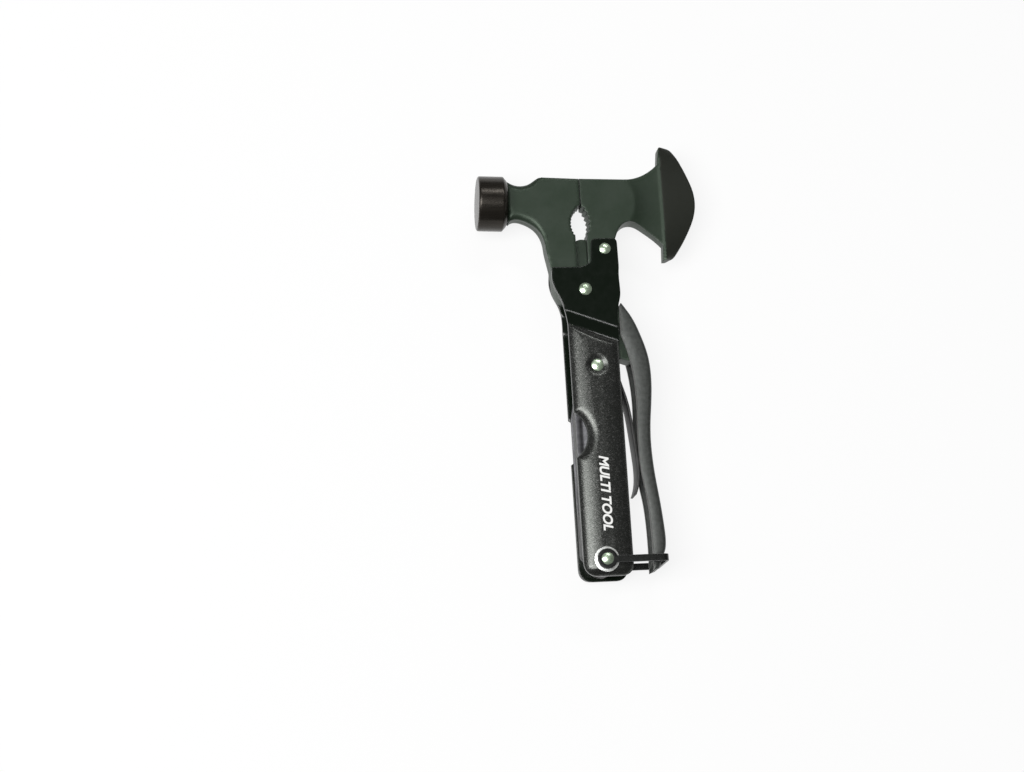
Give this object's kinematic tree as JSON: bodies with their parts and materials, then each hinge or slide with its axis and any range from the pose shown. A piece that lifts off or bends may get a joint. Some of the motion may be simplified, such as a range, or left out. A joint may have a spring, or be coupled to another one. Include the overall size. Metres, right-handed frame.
{
  "type": "multi tool",
  "caption": "Hand-held folding hatchet multi tool: plier jaws that carry a hammer head and an axe blade, a sprung handle lever with a latch, and folding tools in the handle.",
  "frame": {"origin": "middle of the underside of the whole tool's box, with the tool lying on its back", "axes": "+Y along the handle to the head, +X towards the axe edge, +Z out of the front face"},
  "size_m": [0.0913, 0.1786, 0.0279],
  "materials": {
    "head_steel": "matte dark oxide over a cast and ground steel",
    "lever_steel": "satin grey coating",
    "liner_black": "glossy black enamel",
    "scale_paint": "gunmetal paint with a fine speckled texture",
    "rivet_steel": "polished domed head",
    "bright_washer": "bright plated",
    "plain_steel": "turned",
    "spring_steel": "satin strip",
    "latch_black": "black oxide strap",
    "tool_steel": "ground and brushed"
  },
  "bodies": {
    "frame": {"axe_jaw": "head_steel", "front_liner": "liner_black", "rear_liner": "liner_black", "front_scale": "scale_paint", "rear_scale": "scale_paint", "pivot_rivet": "rivet_steel", "bracket_rivet": "rivet_steel", "middle_rivet": "rivet_steel", "middle_spacer": "plain_steel", "stop_pin": "plain_steel", "tool_spacers": "plain_steel", "end_washers": "bright_washer", "end_rivet": "rivet_steel"},
    "jaw": {"hammer_jaw": "head_steel", "lever_channel": "lever_steel"},
    "spring": {"leaf_spring": "spring_steel"},
    "latch": {"latch_bail": "latch_black"},
    "knife": {"knife_blade": "tool_steel"},
    "saw": {"saw_blade": "tool_steel"},
    "file": {"file_driver": "tool_steel"},
    "phillips": {"phillips_driver": "tool_steel"},
    "opener": {"can_opener": "tool_steel"}
  },
  "joints": [
    {"name": "jaw_pivot", "type": "hinge", "parent": "frame", "child": "jaw", "pos_m": [-0.00359, 0.0281, 0.01395], "axis": [0, 0, 1], "range_deg": [0, 15]},
    {"name": "latch_swing", "type": "hinge", "parent": "frame", "child": "latch", "pos_m": [-0.00329, -0.0832, 0.01395], "axis": [0, 0, 1], "range_deg": [-235, 0]},
    {"name": "spring_flex", "type": "hinge", "parent": "frame", "child": "spring", "pos_m": [-0.00159, -0.0048, 0.01395], "axis": [0, 0, 1], "range_deg": [0, 26.75]},
    {"name": "knife_fold", "type": "hinge", "parent": "frame", "child": "knife", "pos_m": [-0.00329, -0.0832, 0.01395], "axis": [0, 0, 1], "range_deg": [0, 180]},
    {"name": "saw_fold", "type": "hinge", "parent": "frame", "child": "saw", "pos_m": [-0.00329, -0.0832, 0.01395], "axis": [0, 0, 1], "range_deg": [0, 180]},
    {"name": "file_fold", "type": "hinge", "parent": "frame", "child": "file", "pos_m": [-0.00329, -0.0832, 0.01395], "axis": [0, 0, 1], "range_deg": [0, 180]},
    {"name": "phillips_fold", "type": "hinge", "parent": "frame", "child": "phillips", "pos_m": [-0.00329, -0.0832, 0.01395], "axis": [0, 0, 1], "range_deg": [0, 180]},
    {"name": "opener_fold", "type": "hinge", "parent": "frame", "child": "opener", "pos_m": [-0.00329, -0.0832, 0.01395], "axis": [0, 0, 1], "range_deg": [0, 180]}
  ],
  "couplings": [
    {"joint": "latch_swing", "follows": "jaw_pivot", "ratio": -15.667},
    {"joint": "spring_flex", "follows": "jaw_pivot", "ratio": 1.75}
  ]
}
